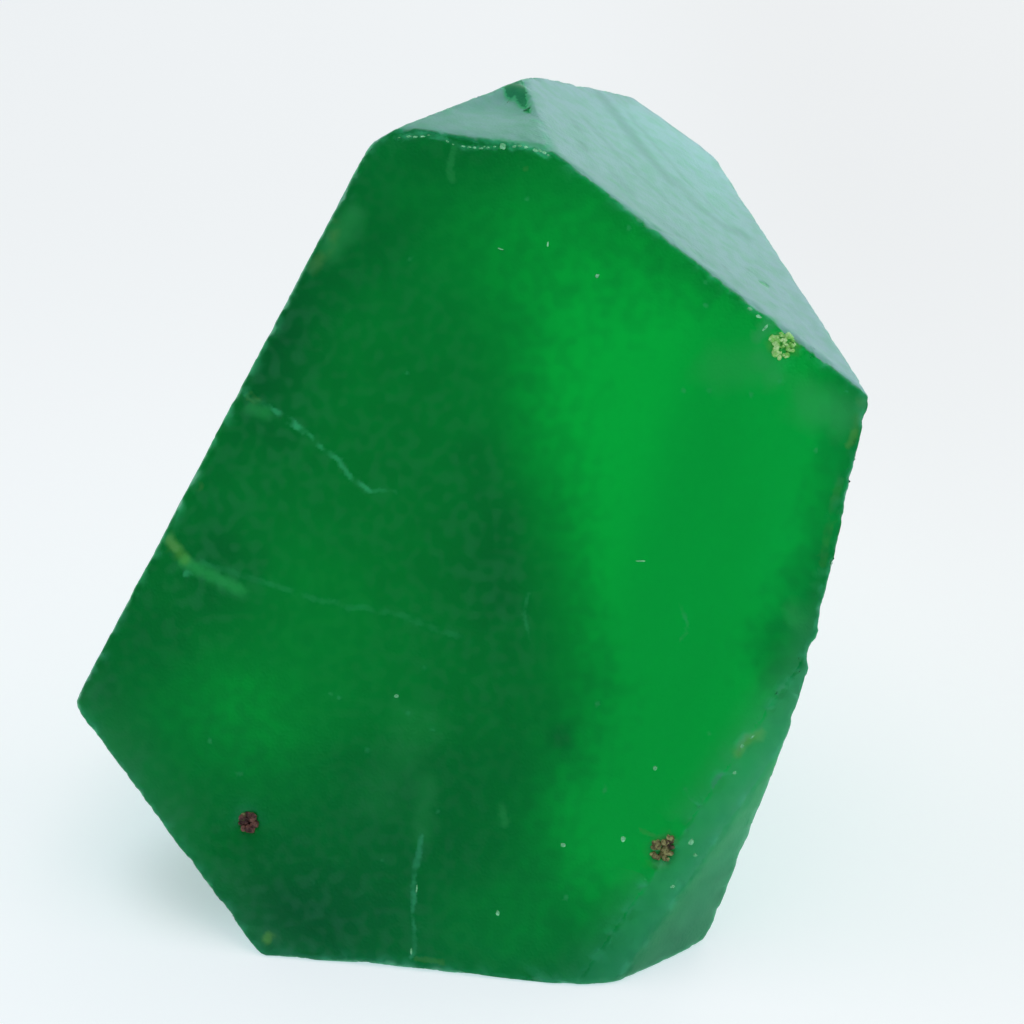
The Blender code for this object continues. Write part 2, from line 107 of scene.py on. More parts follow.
# Marks on the faces. The points are (across, up) on the face; one point makes a spot. A mark's tone says
# what it is: pale for a healed crack or a nick, and along the top rim for a painted highlight, haze for a
# bruise under the skin, tan for iron stain, yellow for a chip, shade for a dark cloud, and bare where the
# dull skin is off and the deep body shows, which below the peak is also painted shade.
Mark = namedtuple("Mark", "face tone radius strength points")
MARKS = {
    "crack_upper": Mark(
        "front", "pale", 0.17, 0.44,
        ((-9.9, 21.9), (-7.9, 20.9), (-7.0, 20.3), (-5.5, 19.1), (-4.2, 18.0), (-3.4, 17.5)),
    ),
    "crack_upper_knot": Mark("front", "pale", 0.24, 0.58, ((-7.5, 20.6), (-6.9, 20.1))),
    "crack_upper_end": Mark("front", "pale", 0.15, 0.25, ((-3.4, 17.5), (-2.1, 17.5))),
    "crack_middle_broad": Mark("front", "haze", 0.55, 0.46, ((-12.5, 13.3), (-10.9, 12.6), (-9.7, 12.2))),
    "crack_middle_edge": Mark("front", "yellow", 0.45, 0.34, ((-13.3, 14.3), (-12.5, 13.4))),
    "crack_middle_long": Mark(
        "front", "pale", 0.2, 0.14,
        ((-12.3, 13.5), (-8.7, 12.7), (-5.6, 11.9), (-1.5, 11.5), (2.0, 10.5)),
    ),
    "crack_low": Mark("front", "pale", 0.18, 0.42, ((0.25, 0.6), (0.03, -0.9), (0.05, -2.7))),
    "crack_low_end": Mark("front", "pale", 0.14, 0.38, ((0.05, -2.7), (0.07, -4.7), (0.03, -5.3))),
    "crack_low_haze": Mark("front", "haze", 0.9, 0.2, ((0.3, 3.4), (0.2, 0.8))),
    "hair_right": Mark(
        "front", "pale", 0.11, 0.26, ((12.3, 12.8), (12.62, 12.2), (12.6, 11.7), (12.25, 11.3)),
    ),
    "hair_low": Mark("front", "pale", 0.1, 0.24, ((13.0, 4.2), (13.2, 3.6), (13.7, 3.3), (14.2, 3.6))),
    "streak_under_rim": Mark("front", "haze", 0.26, 0.26, ((-0.2, 34.3), (-0.35, 33.4), (-0.25, 32.9))),
    "flaw_middle": Mark("front", "pale", 0.1, 0.2, ((4.85, 12.97), (4.7, 11.9), (4.84, 10.8))),
    "scratch_low": Mark("front", "haze", 0.34, 0.34, ((4.1, 2.4), (4.3, 1.7))),
    "bruise_top_left": Mark("front", "haze", 1.2, 0.34, ((-5.2, 30.6), (-6.0, 29.3))),
    "bruise_edge_left": Mark("front", "tan", 0.55, 0.34, ((-5.9, 30.2), (-6.4, 28.8), (-6.8, 28.3))),
    "bruise_right": Mark("front", "haze", 1.6, 0.42, ((17.6, 23.2), (19.2, 22.8))),
    "bruise_notch": Mark("front", "haze", 0.7, 0.3, ((17.8, 12.7), (17.6, 13.2))),
    "bruise_low_right": Mark("front", "haze", 0.8, 0.3, ((15.2, 6.0), (16.4, 7.2))),
    "bruise_left_edge": Mark("front", "haze", 0.55, 0.34, ((-9.5, 21.2), (-8.9, 21.0))),
    "chip_streak": Mark("front", "haze", 0.6, 0.7, ((15.6, 26.9), (15.1, 26.2))),
    "chip_bruise": Mark("front", "haze", 0.95, 0.45, ((15.2, 25.2), (15.9, 24.4))),
    "chip": Mark("front", "yellow", 0.62, 0.72, ((16.0, 25.9), (16.6, 25.9))),
    "spot_low_right": Mark("front", "yellow", 0.38, 0.42, ((15.4, 6.1), (15.9, 6.8), (16.5, 7.2))),
    "spot_heel_left": Mark("front", "yellow", 0.36, 0.46, ((-7.25, -5.15), (-7.15, -4.95))),
    "spot_left": Mark("front", "tan", 0.26, 0.7, ((-13.35, 14.3), (-13.1, 14.0))),
    "spot_left_low": Mark("front", "pale", 0.2, 0.4, ((-12.4, 12.7), (-12.1, 12.6))),
    "spot_upper_left": Mark("front", "tan", 0.28, 0.6, ((-9.7, 21.8), (-9.3, 21.6))),
    "spot_under_rim": Mark("front", "tan", 0.20, 0.24, ((3.3, 33.6),)),
    "stain_right_edge": Mark("front", "tan", 0.42, 0.22, ((20.2, 23.3), (20.0, 22.4), (19.85, 21.4))),
    "stain_right_edge_low": Mark("front", "yellow", 0.24, 0.22, ((19.9, 21.9), (19.75, 21.3))),
    "stain_right_edge_long": Mark("front", "tan", 0.26, 0.12, ((19.4, 19.5), (18.9, 15.5))),
    "stain_left_edge": Mark("front", "tan", 0.24, 0.3, ((-12.0, 17.2), (-12.1, 17.0))),
    # Along the top rim: a pale line painted as a highlight on the edge, under the pale beads.
    "rim_highlight_left": Mark("front", "pale", 0.2, 0.5, ((-3.2, 34.75), (-1.8, 34.95), (-0.9, 34.8))),
    "rim_highlight_middle": Mark("front", "pale", 0.16, 0.4, ((-0.9, 34.75), (0.2, 34.45), (1.9, 34.5))),
    "rim_highlight_right": Mark("front", "pale", 0.2, 0.5, ((2.6, 34.55), (3.3, 34.65), (4.5, 34.25))),
    "heel_stain": Mark("front", "yellow", 0.2, 0.14, ((0.3, -5.35), (1.6, -5.4))),
    "blob": Mark("front", "shade", 1.05, 0.8, ((6.75, 6.25),)),
    "cloud_middle": Mark("front", "shade", 1.9, 0.42, ((1.8, 19.6), (3.1, 17.0), (3.8, 12.6))),
    "cloud_under_crack": Mark("front", "shade", 0.9, 0.3, ((-8.6, 20.0), (-7.5, 19.4))),
    "cloud_left_crack": Mark("front", "shade", 1.2, 0.3, ((-11.0, 14.2), (-8.8, 13.6))),
    "cloud_corner": Mark("front", "shade", 1.6, 0.4, ((-16.4, 6.6),)),
    "roof_line_main": Mark(
        "roof_right", "shade", 0.95, 0.58, ((12.7, 14.1), (10.0, 12.7), (7.4, 11.4), (5.45, 10.0)),
    ),
    "roof_line_low": Mark(
        "roof_right", "shade", 0.85, 0.46, ((5.9, 9.6), (4.05, 8.2), (3.75, 6.7), (4.4, 5.4)),
    ),
    "roof_line_front": Mark("roof_right", "shade", 0.3, 0.36, ((-3.6, 11.1), (-2.3, 9.3), (-4.0, 8.3))),
    "roof_line_back": Mark(
        "roof_right", "shade", 0.4, 0.26, ((12.6, 12.4), (8.9, 10.0), (7.0, 8.6), (5.2, 6.9)),
    ),
    "roof_line_middle": Mark(
        "roof_right", "shade", 0.45, 0.22, ((6.6, 15.2), (4.2, 13.3), (1.9, 10.6), (0.6, 8.0)),
    ),
    "roof_pit_a": Mark("roof_right", "shade", 0.5, 0.4, ((4.95, 15.9), (4.2, 15.6))),
    "roof_pit_b": Mark("roof_right", "shade", 0.45, 0.55, ((2.1, 15.5), (1.5, 15.3))),
    "roof_pit_c": Mark("roof_right", "shade", 0.34, 0.6, ((-2.87, 7.1),)),
    "roof_pit_d": Mark("roof_right", "shade", 0.34, 0.45, ((-0.87, 5.59),)),
    "roof_pit_e": Mark("roof_right", "shade", 0.6, 0.3, ((0.4, 13.3), (-0.6, 12.6))),
    "roof_band": Mark(
        "roof_right", "shade", 1.5, 0.2, ((-1.7, 14.4), (-2.2, 11.5), (-2.6, 8.5), (-4.0, 6.2)),
    ),
    "roof_pit_f": Mark("roof_right", "bare", 0.26, 0.8, ((-1.5, 4.75), (-1.35, 4.5))),
    # Below the peak the skin is off in a scar, and the patch is painted deep green as painted shade of a
    # facet turned toward the dark.
    "peak_scar_with_shade": Mark("roof_left", "bare", 0.75, 0.92, ((6.5, 9.3), (5.5, 8.4), (4.8, 8.0))),
    "peak_scar_with_shade_middle": Mark("roof_left", "bare", 0.80, 0.92, ((6.4, 8.6), (5.6, 7.8), (5.3, 7.1))),
    "peak_scar_with_shade_low": Mark("roof_left", "bare", 0.60, 0.90, ((5.6, 7.3), (5.2, 6.3), (5.0, 5.8))),
    "bare_under_rim": Mark(
        "roof_left", "bare", 0.26, 0.5, ((-2.0, 4.6), (0.0, 3.3), (1.5, 2.2), (2.6, 1.5)),
    ),
    "bare_chip": Mark("front", "bare", 2.9, 1.0, ((16.3, 25.7),)),
    "bare_pit_left": Mark("front", "bare", 2.2, 1.0, ((-8.6, 0.45),)),
    "bare_pit_right": Mark("front", "bare", 2.0, 1.0, ((12.2, 0.9),)),
    "bare_pit_small": Mark("front", "bare", 1.3, 1.0, ((13.5, 1.2),)),
    "stain_pit_right": Mark("front", "tan", 0.74, 0.8, ((11.9, 0.75), (12.3, 1.35))),
    "stain_pit_right_tail": Mark("front", "tan", 0.16, 0.26, ((10.95, 1.95), (11.6, 1.7))),
    "stain_pit_left": Mark("front", "tan", 0.66, 0.5, ((-8.65, 0.65),)),
    "toe_line": Mark("front", "pale", 0.15, 0.2, ((15.4, 4.8), (13.9, 2.2), (12.1, -0.9), (10.7, -3.6))),
    "toe_line_low": Mark("front", "pale", 0.16, 0.24, ((11.3, -2.7), (10.1, -4.3))),
    "haze_low_left": Mark("front", "haze", 1.9, 0.14, ((-0.2, 6.2), (-1.1, 4.4), (-2.0, 2.4))),
    "haze_under_chip": Mark("front", "haze", 1.7, 0.26, ((13.4, 24.6), (14.9, 24.9))),
}
TONES = ("pale", "tan", "yellow", "haze", "shade", "bare")

# Faint pale spots on the front face: (across, up).
FAINT_SPOTS = (
    (-4.28, 7.20), (-4.74, 7.34), (-10.78, 4.53), (-9.00, 3.00), (0.37, 5.97), (-0.11, 8.93),
    (-2.72, 4.68), (-0.80, 6.77), (0.94, 1.98), (-1.70, -0.66), (-5.14, -2.17), (3.56, 32.11),
    (-2.15, 28.82), (8.42, 31.00), (12.98, 24.95), (12.48, 27.49), (12.33, 28.58), (14.86, 23.32),
    (11.75, 23.33), (12.89, 23.48), (18.20, 20.94), (16.23, 24.13), (14.04, 6.86), (8.41, 7.96),
    (9.03, 3.69), (7.55, -1.61), (-1.90, 23.40),
)

# Pale mineral flecks set in the front face: (across, up, length, width, heading in degrees), in mm.
FLECKS = (
    (7.24, 0.88, 0.28, 0.26, 0.0),
    (10.16, 1.43, 0.32, 0.28, 60.0),
    (13.42, 1.57, 0.36, 0.32, 80.0),
    (13.66, 0.91, 0.24, 0.22, 0.0),
    (4.24, -2.75, 0.30, 0.22, 80.0),
    (12.67, -0.73, 0.22, 0.20, 0.0),
    (15.32, 5.11, 0.24, 0.20, 30.0),
    (15.60, 6.42, 0.28, 0.22, 40.0),
    (16.10, 6.95, 0.34, 0.12, 50.0),
    (11.49, 5.03, 0.24, 0.22, 0.0),
    (10.10, 15.02, 0.60, 0.09, 3.0),
    (7.15, 28.62, 0.26, 0.24, 0.0),
    (2.35, 29.64, 0.36, 0.10, -16.0),
    (4.65, 30.02, 0.10, 0.34, 0.0),
    (-1.45, 7.51, 0.26, 0.22, 0.0),
    (0.13, -1.94, 0.10, 0.50, -6.0),
    (0.04, -5.04, 0.12, 0.40, 0.0),
    (14.60, 27.46, 0.28, 0.18, -30.0),
    (15.02, 27.14, 0.32, 0.18, -20.0),
    (15.36, 26.60, 0.46, 0.16, 50.0),
    (2.16, 34.56, 0.36, 0.34, 0.0),
)

# Lines of such flecks: the points (across, up), the spacing, and a fleck's length and width, in mm.
FLECK_LINES = (
    (((-3.15, 34.72), (-2.40, 34.84), (-1.30, 34.95)), 0.34, 0.30, 0.12),
    (((-0.70, 34.74), (-0.10, 34.49), (0.74, 34.46)), 0.36, 0.26, 0.11),
    (((0.70, 34.45), (1.38, 34.50), (1.80, 34.53)), 0.26, 0.26, 0.15),
    (((2.55, 34.50), (3.04, 34.68), (3.35, 34.66)), 0.30, 0.24, 0.15),
    (((3.60, 34.50), (4.10, 34.44), (4.55, 34.24)), 0.24, 0.26, 0.18),
)

# Painted light on the front face: the light that passes through the crystal, painted into its colour,
# brighter with a positive strength and darker with a negative one: the middle (across, up), the reach
# (across, up) and the strength.
PAINTED_GLOWS = (
    (7.9, 23.0, 4.6, 7.6, 0.49),
    (12.0, 13.5, 4.2, 6.4, 0.80),
    (15.2, 20.5, 4.0, 6.0, 0.74),
    (12.5, 27.5, 3.5, 3.0, 0.07),
    (4.6, 30.0, 5.0, 4.2, 0.18),
    (-10.8, 6.4, 3.6, 2.8, 0.24),
    (14.6, 6.5, 3.2, 3.4, 0.55),
    (10.3, 2.0, 4.4, 5.0, 0.66),
    (-5.0, 9.0, 4.5, 3.5, 0.09),
    (-8.8, 24.0, 2.4, 5.0, -0.17),
    (-6.0, -4.0, 5.0, 2.6, -0.16),
    (-3.5, 24.0, 3.5, 4.0, 0.03),
    (14.5, 24.0, 3.2, 3.2, 0.50),
    (-6.5, 13.0, 3.5, 3.0, 0.08),
    (-1.5, 32.0, 3.0, 2.5, 0.12),
    (-7.5, 3.5, 4.0, 3.0, 0.15),
    (4.2, -3.5, 3.0, 2.5, 0.17),
    (3.0, 15.0, 3.0, 5.0, -0.11),
    (-11.0, 13.0, 2.5, 3.5, -0.14),
)
# The painted glow's level on the whole front face, under those places.
PAINTED_GLOW_FLOOR = 0.305

# Hollows that stay as the solid has them: (face, across, up, radius).
KEPT_HOLLOWS = (
    ("front", -8.7, 0.5, 0.95),
    ("front", 12.5, 0.7, 1.05),
    ("front", 13.5, 1.1, 0.60),
    ("front", 16.4, 25.9, 1.30),
    ("right_low", -15.4, 19.3, 1.20),
    ("right_low", -16.4, 8.6, 1.40),
)

# How finely the surface is divided, in mm: on open faces, on the front and right roof faces, along edges,
# along the front face's edges, in fine marks, around the bare patch at the peak with its painted shade, and
# in shell-shaped breaks.
OPEN_STEP = 0.70
FRONT_STEP = 0.50
EDGE_STEP = 0.28
FRONT_EDGE_STEP = 0.16
MARK_STEP = 0.12
BARE_STEP = 0.18
SHELL_STEP = 0.35

# How far from an edge, a fine mark and a bare mark those steps reach, in mm.
EDGE_REACH = 0.45
MARK_MARGIN = 0.15
BARE_REACH = 1.2

# The most rounds in which long sides are divided.
DIVIDING_ROUNDS = 6

# Marks with a larger radius than this, in mm, are broad ones.
BROAD_RADIUS = 0.6

# The solid's coarse facets are smoothed on open faces: away from edges and above the foot, in mm.
OPEN_DISTANCE = 0.6
OPEN_HEIGHT = 0.3
SMOOTHING_PASSES = 4

# How the edges are evened, in mm: how softly they turn, how far in from them it reaches, and the most that
# a hollow is filled and a bulge is cut. The share is how much of that is done.
EDGE_SOFTNESS = 0.10
EVEN_REACH = 1.3
MOST_FILL = 0.30
MOST_CUT = 0.15
EVEN_SHARE = 0.88

# How deep the fine relief is, in mm.
PALE_DEPTH = 0.035
YELLOW_DEPTH = 0.05
TAN_DEPTH = 0.03
ROOF_LINE_DEPTH = 0.008
ROOF_PIT_DEPTH = 0.06
CHIP_DEPTH = 0.08
CRUMB_DEPTH = 0.035
PEAK_SCAR_DEPTH = 0.55
NICK_REACH = 0.5

# The relief starts above this height, in mm, so that the crystal's foot stays flat.
FOOT_HEIGHT = 0.05

# Triangles belong to a flat face if they look nearly its way and lie close to its furthest point, in mm.
SAME_WAY = 0.985
SAME_DEPTH = 0.7

# Corners closer than this, in mm, are joined.
WELD_DISTANCE = 0.002

# Clusters of mineral grains on the front face: (across, up, spread, grain size, count, height), in mm.
LEFT_PIT = ((-8.60, 0.64, 0.46, 0.20, 34, 0.14),)
LEFT_CORE = ((-8.78, 0.86, 0.13, 0.12, 7, 0.26),)
RIGHT_PIT = ((12.08, 1.00, 0.50, 0.15, 44, 0.18), (12.35, 1.50, 0.24, 0.13, 12, 0.12))
RIGHT_CORE = ((12.40, 1.42, 0.24, 0.14, 14, 0.20),)
CHIP_CRUMBS = ((16.25, 25.80, 0.60, 0.13, 56, 0.06), (15.85, 26.00, 0.22, 0.14, 8, 0.07))

# The way to the dark end of the room, and the middle of the shadow painted into the floor's glow beside the
# crystal, in mm.
DARK_END = (-0.30, -0.90, 0.32)
FLOOR_SHADOW_PLACE = (-11.5, -7.0, 0.0)


def facing(bearing, tilt):
    """The unit vector that looks along a bearing and a tilt in degrees."""
    turn = math.radians(bearing)
    lift = math.radians(tilt)
    return Vector((math.sin(turn) * math.cos(lift), -math.cos(turn) * math.cos(lift), math.sin(lift)))


def directions_on(normal):
    """The two directions in a face: across it, level, and up it."""
    level = Vector((0.0, 0.0, 1.0)).cross(normal)
    across = level.normalized() if level.length > 0.01 else Vector((1.0, 0.0, 0.0))
    return across, normal.cross(across)


def ease(value, start, end):
    """A smooth step from 0 at start to 1 at end."""
    share = min(max((value - start) / (end - start), 0.0), 1.0)
    return share * share * (3.0 - 2.0 * share)


# --- the crystal's surface ---


def merged_copy(node):
    """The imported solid's triangles joined into one closed mesh, in mm."""
    mesh = bmesh.new()
    mesh.from_mesh(node.data)
    bmesh.ops.transform(mesh, matrix=Matrix.Scale(1 / MM, 4), verts=mesh.verts)
    bmesh.ops.remove_doubles(mesh, verts=mesh.verts, dist=WELD_DISTANCE)
    return mesh


def planes_of(mesh):
    """Each flat face's plane: its normal and how far out most of it lies."""
    planes = {}
    for name, facet in FACETS.items():
        normal = facing(facet.bearing, facet.tilt)
        furthest = max(corner.co.dot(normal) for corner in mesh.verts)
        faces = [face for face in mesh.faces if face.normal.dot(normal) > SAME_WAY]
        near = [face for face in faces if face.calc_center_median().dot(normal) > furthest - SAME_DEPTH]
        area = sum(face.calc_area() for face in near)
        reach = sum(face.calc_center_median().dot(normal) * face.calc_area() for face in near) / area
        planes[name] = (normal, reach)
    return planes


def nearest_faces(point, planes):
    """(nearest face, next face, distance from the edge between them) for a point of the surface."""
    depths = sorted((reach - point.dot(normal), name) for name, (normal, reach) in planes.items())
    (near, name), (far, other) = depths[:2]
    turn = (planes[name][0] - planes[other][0]).length
    return name, other, (far - near) / turn


def on_face(face, across, up, planes):
    """The point of a face's plane that lies at (across, up)."""
    normal, reach = planes[face]
    level, rise = directions_on(normal)
    return normal * reach + level * across + rise * up


def all_marks():
    """The named marks and the faint spots."""
    spots = [Mark("front", "pale", 0.15, 0.30, (spot,)) for spot in FAINT_SPOTS]
    return list(MARKS.values()) + spots


def mark_samples(planes):
    """Points along the marks in two groups, the fine marks and the broad: (search tree, owners, reach)."""
    groups = []
    for is_broad in (False, True):
        samples = []
        for mark in all_marks():
            if (mark.radius > BROAD_RADIUS) != is_broad:
                continue
            places = [on_face(mark.face, across, up, planes) for across, up in mark.points]
            samples.append((places[0], mark))
            for start, end in zip(places, places[1:]):
                count = max(2, int((end - start).length / (mark.radius * 0.5)))
                samples += [(start.lerp(end, step / count), mark) for step in range(1, count + 1)]
        tree = kdtree.KDTree(len(samples))
        for number, (point, mark) in enumerate(samples):
            tree.insert(point, number)
        tree.balance()
        owners = [mark for point, mark in samples]
        groups.append((tree, owners, 1.35 * max(mark.radius for mark in owners)))
    return groups


def wandering(point):
    """The point pushed about a little, so that a mark's line wavers and its rim is ragged."""
    broad = noise.noise_vector(point * 0.9) * 0.16
    fine = noise.noise_vector(point * 4.0) * 0.05
    return point + broad + fine


def tones_at(point, face, marks):
    """How strongly each tone shows at a point of a face."""
    strengths = dict.fromkeys(TONES, 0.0)
    moved = wandering(point)
    beads = min(1.0, 0.72 + 1.5 * noise.noise(point * 2.0))
    for tree, owners, reach in marks:
        for _, number, distance in tree.find_range(moved, reach):
            mark = owners[number]
            if mark.tone in ("shade", "bare") and mark.face != face:
                continue
            ragged = mark.radius * (1.0 + 0.35 * noise.noise(point * 1.5 / max(mark.radius, 0.2)))
            share = mark.strength * ease(distance, ragged, ragged * solid_share(mark))
            if mark.tone in ("pale", "tan"):
                share *= beads
            strengths[mark.tone] = max(strengths[mark.tone], share)
    return strengths


def solid_share(mark):
    """The part of a mark's radius that has its full strength: the rest fades out."""
    if mark.tone == "bare":
        return 0.55
    return 0.45 if mark.radius < 0.3 else 0.15


def mark_step(point, marks):
    """How long a side may be for the fine marks near a point."""
    tree, owners, reach = marks[0]
    step = OPEN_STEP
    for _, number, gap in tree.find_range(point, reach):
        radius = owners[number].radius
        if gap < radius + MARK_MARGIN:
            step = min(step, max(MARK_STEP, radius * 0.6))
    return step


def is_near_bare(point, marks):
    """Whether a mark where the skin is off lies near a point."""
    for tree, owners, _ in marks:
        near = [owners[number] for _, number, _ in tree.find_range(point, BARE_REACH)]
        if any(mark.tone == "bare" for mark in near):
            return True
    return False


def allowed_length(point, planes, marks):
    """How long a triangle's side may be at a point."""
    name, other, distance = nearest_faces(point, planes)
    is_marked = name in ("front", "roof_right")
    length = FRONT_STEP if is_marked else OPEN_STEP
    if distance < EDGE_REACH:
        at_front = "front" in (name, other) and distance < EDGE_REACH / 2
        length = FRONT_EDGE_STEP if at_front else EDGE_STEP
    if is_marked:
        length = min(length, mark_step(point, marks))
    if name == "roof_left" and is_near_bare(point, marks):
        length = min(length, BARE_STEP)
    if name in PATCHY_FACES and shell_breaks(point, name, planes)[1] > 0.0:
        length = min(length, SHELL_STEP)
    return length


def divide(mesh, planes, marks):
    """Divides long sides until none is longer than its place allows."""
    lengths = {}
    for _ in range(DIVIDING_ROUNDS):
        long_edges = []
        for edge in mesh.edges:
            length = edge.calc_length()
            if length <= MARK_STEP:
                continue
            middle = (edge.verts[0].co + edge.verts[1].co) / 2
            key = middle.to_tuple(3)
            if key not in lengths:
                lengths[key] = allowed_length(middle, planes, marks)
            if length > lengths[key]:
                long_edges.append(edge)
        if not long_edges:
            break
        bmesh.ops.subdivide_edges(mesh, edges=long_edges, cuts=1, use_grid_fill=True)
        bmesh.ops.triangulate(mesh, faces=[face for face in mesh.faces if len(face.verts) > 3])


def edge_field(point, planes):
    """(height, slope) of the crystal with evenly worn edges at a point: it is negative inside."""
    heights = [(point.dot(normal) - reach, normal) for normal, reach in planes.values()]
    highest = max(height for height, normal in heights)
    near = [(height, normal) for height, normal in heights if height > highest - 10.0 * EDGE_SOFTNESS]
    weights = [(math.exp((height - highest) / EDGE_SOFTNESS), normal) for height, normal in near]
    total = sum(weight for weight, normal in weights)
    slope = sum((normal * weight for weight, normal in weights), Vector()) / total
    return highest + EDGE_SOFTNESS * math.log(total), slope


def even_edges(mesh, planes):
    """Takes the large scallops out of the edges, which leaves room for fine nicks."""
    hollows = [(on_face(face, across, up, planes), radius) for face, across, up, radius in KEPT_HOLLOWS]
    for corner in mesh.verts:
        distance = nearest_faces(corner.co, planes)[2]
        if distance > EVEN_REACH or any((corner.co - middle).length < radius for middle, radius in hollows):
            continue
        height, slope = edge_field(corner.co, planes)
        fade = 1.0 - ease(distance, 0.4, EVEN_REACH)
        corner.co -= slope.normalized() * (min(max(height, -MOST_FILL), MOST_CUT) * EVEN_SHARE * fade)


def growth_lines(point, name, planes):
    """How deep the growth lines are at a point of a face."""
    if name not in GROWTH_LINES:
        return 0.0
    lines_per_mm, depth, heading = GROWTH_LINES[name]
    level, rise = directions_on(planes[name][0])
    turn = math.radians(heading)
    square = point.dot(level * math.cos(turn) + rise * math.sin(turn))
    along = point.dot(rise * math.cos(turn) - level * math.sin(turn))
    bend = 0.6 * noise.noise(Vector((square * 0.12, along * 0.12, 3.0)))
    place = (square + bend) * lines_per_mm
    broad = noise.noise(Vector((place, along * 0.05, 8.0)))
    fine = noise.noise(Vector((place * 2.7, along * 0.09, 1.0)))
    patchy = 0.5 + 0.5 * noise.noise(point * 0.25)
    return depth * patchy * (broad + 0.4 * fine)


def shell_breaks(point, name, planes):
    """(depth, share) of the shell-shaped breaks at a point: share is 1 inside a break and 0 outside."""
    depth = 0.0
    share = 0.0
    for shell in SHELL_BREAKS:
        if shell.face != name:
            continue
        away = (point - on_face(shell.face, shell.across, shell.up, planes)).length
        away += 0.9 * noise.noise(point * 0.35)
        inside = 1.0 - ease(away, shell.radius * 0.78, shell.radius)
        ripples = 0.5 + 0.5 * math.cos(2.0 * math.pi * away / shell.ripple)
        bowl = shell.depth * (1.0 - 0.6 * away / shell.radius)
        depth += inside * (bowl + 0.16 * shell.depth * ripples)
        share = max(share, inside)
    return depth, share


def edge_nicks(point, distance):
    """How deep the small chips are at a point near an edge."""
    if distance > NICK_REACH:
        return 0.0
    chips = ease(noise.noise(point * 1.15 + Vector((9.0, 2.0, 5.0))), 0.12, 0.55)
    crumbs = ease(noise.noise(point * 3.4), 0.05, 0.60)
    near = 1.0 - ease(distance, 0.05, NICK_REACH)
    return near * (CHIP_DEPTH * chips + CRUMB_DEPTH * crumbs)


def relief(point, name, distance, tones, planes, peak):
    """How far the fine relief sinks the surface at a point."""
    facet = FACETS[name]
    grain = facet.grain * (noise.noise(point * 2.6) + 0.6 * noise.noise(point * 6.1))
    marks = PALE_DEPTH * min(tones["pale"], 0.8) + YELLOW_DEPTH * tones["yellow"]
    marks += TAN_DEPTH * tones["tan"]
    marks *= 0.7 + 0.6 * noise.noise(point * 5.0)
    pits = 0.0
    if name == "roof_right":
        pits = ROOF_LINE_DEPTH * tones["shade"] + ROOF_PIT_DEPTH * tones["bare"]
    scars = peak_scar(point, name, planes, peak)
    breaks, share = shell_breaks(point, name, planes)
    breaks *= ease(distance, 0.1, 1.5)
    lines = growth_lines(point, name, planes) * (1.0 - share)
    return grain + marks + pits + scars + lines + breaks + edge_nicks(point, distance)


def peak_scar(point, name, planes, peak):
    """How deep the scar on the left roof face is: steep just below the peak, then rising slowly."""
    if name != "roof_left":
        return 0.0
    offset = point - peak
    ahead = offset.dot(facing(-25.0, 0.0))
    sideways = abs(offset.dot(facing(65.0, 0.0)) + 0.5)
    crown_normal, crown_reach = planes["crown_left"]
    inside = ease(crown_reach - point.dot(crown_normal), 0.0, 0.5)
    falling = ease(ahead, 0.0, 1.3)
    rising = 1.0 - ease(ahead, 1.6, 6.0)
    return PEAK_SCAR_DEPTH * inside * falling * rising * (1.0 - ease(sideways, 1.6, 3.5))


def painted_glow_at(point, planes):
    """The painted glow at a point of the front face: how much of the light passing through the crystal is
    painted into its colour.
    """
    level, rise = directions_on(planes["front"][0])
    across = point.dot(level)
    up = point.dot(rise)
    painted_glow = PAINTED_GLOW_FLOOR
    for middle_across, middle_up, reach_across, reach_up, strength in PAINTED_GLOWS:
        far = ((across - middle_across) / reach_across) ** 2 + ((up - middle_up) / reach_up) ** 2
        painted_glow += strength * math.exp(-far)
    clouds = noise.noise(point * 0.16 + Vector((4.0, 0.0, 0.0))) + 0.5 * noise.noise(point * 0.45)
    return painted_glow * (1.0 + 0.08 * clouds + 0.10 * noise.noise(point * 0.9))


def distance_in(point, face, other, planes):
    """How far in on a face a point lies from the edge that the face shares with another."""
    normal, reach = planes[other]
    return (reach - point.dot(normal)) / (planes[face][0] - normal).length


def clearness(point, planes):
    """How clear the front face is at a point: the skin dulls toward the bevel and the left corner."""
    from_bevel = distance_in(point, "front", "toe_bevel", planes)
    from_left = distance_in(point, "front", "left_low", planes)
    return 1.0 - 0.42 * (1.0 - ease(from_bevel, -0.5, 1.8)) - 0.12 * (1.0 - ease(from_left, 0.0, 2.2))


def green_share(point, name, planes, bare):
    """The front face's clearness. The part above 1 is how much of its green shows below its plane as well:
    in its chips and pits, and on the bevel and the toe, where it fades out."""
    if name in ("toe_bevel", "toe"):
        return 1.0 + 0.55 * (1.0 - ease(distance_in(point, name, "front", planes), 0.0, 3.0))
    clear = clearness(point, planes)
    return clear + bare if name == "front" else clear


def worn_patches(point, name, planes):
    """How much skin a side or back face has kept at a point: it is worn in patches, lines and breaks."""
    broad = noise.noise(point * 0.20 + Vector((3.0, 7.0, 1.0)))
    kept = ease(broad + 0.4 * noise.noise(point * 0.6), -0.35, 0.45)
    lines = growth_lines(point, name, planes) / 0.03
    share = shell_breaks(point, name, planes)[1]
    return (0.45 + 0.80 * kept + 0.34 * lines) * (1.0 - 0.40 * share)


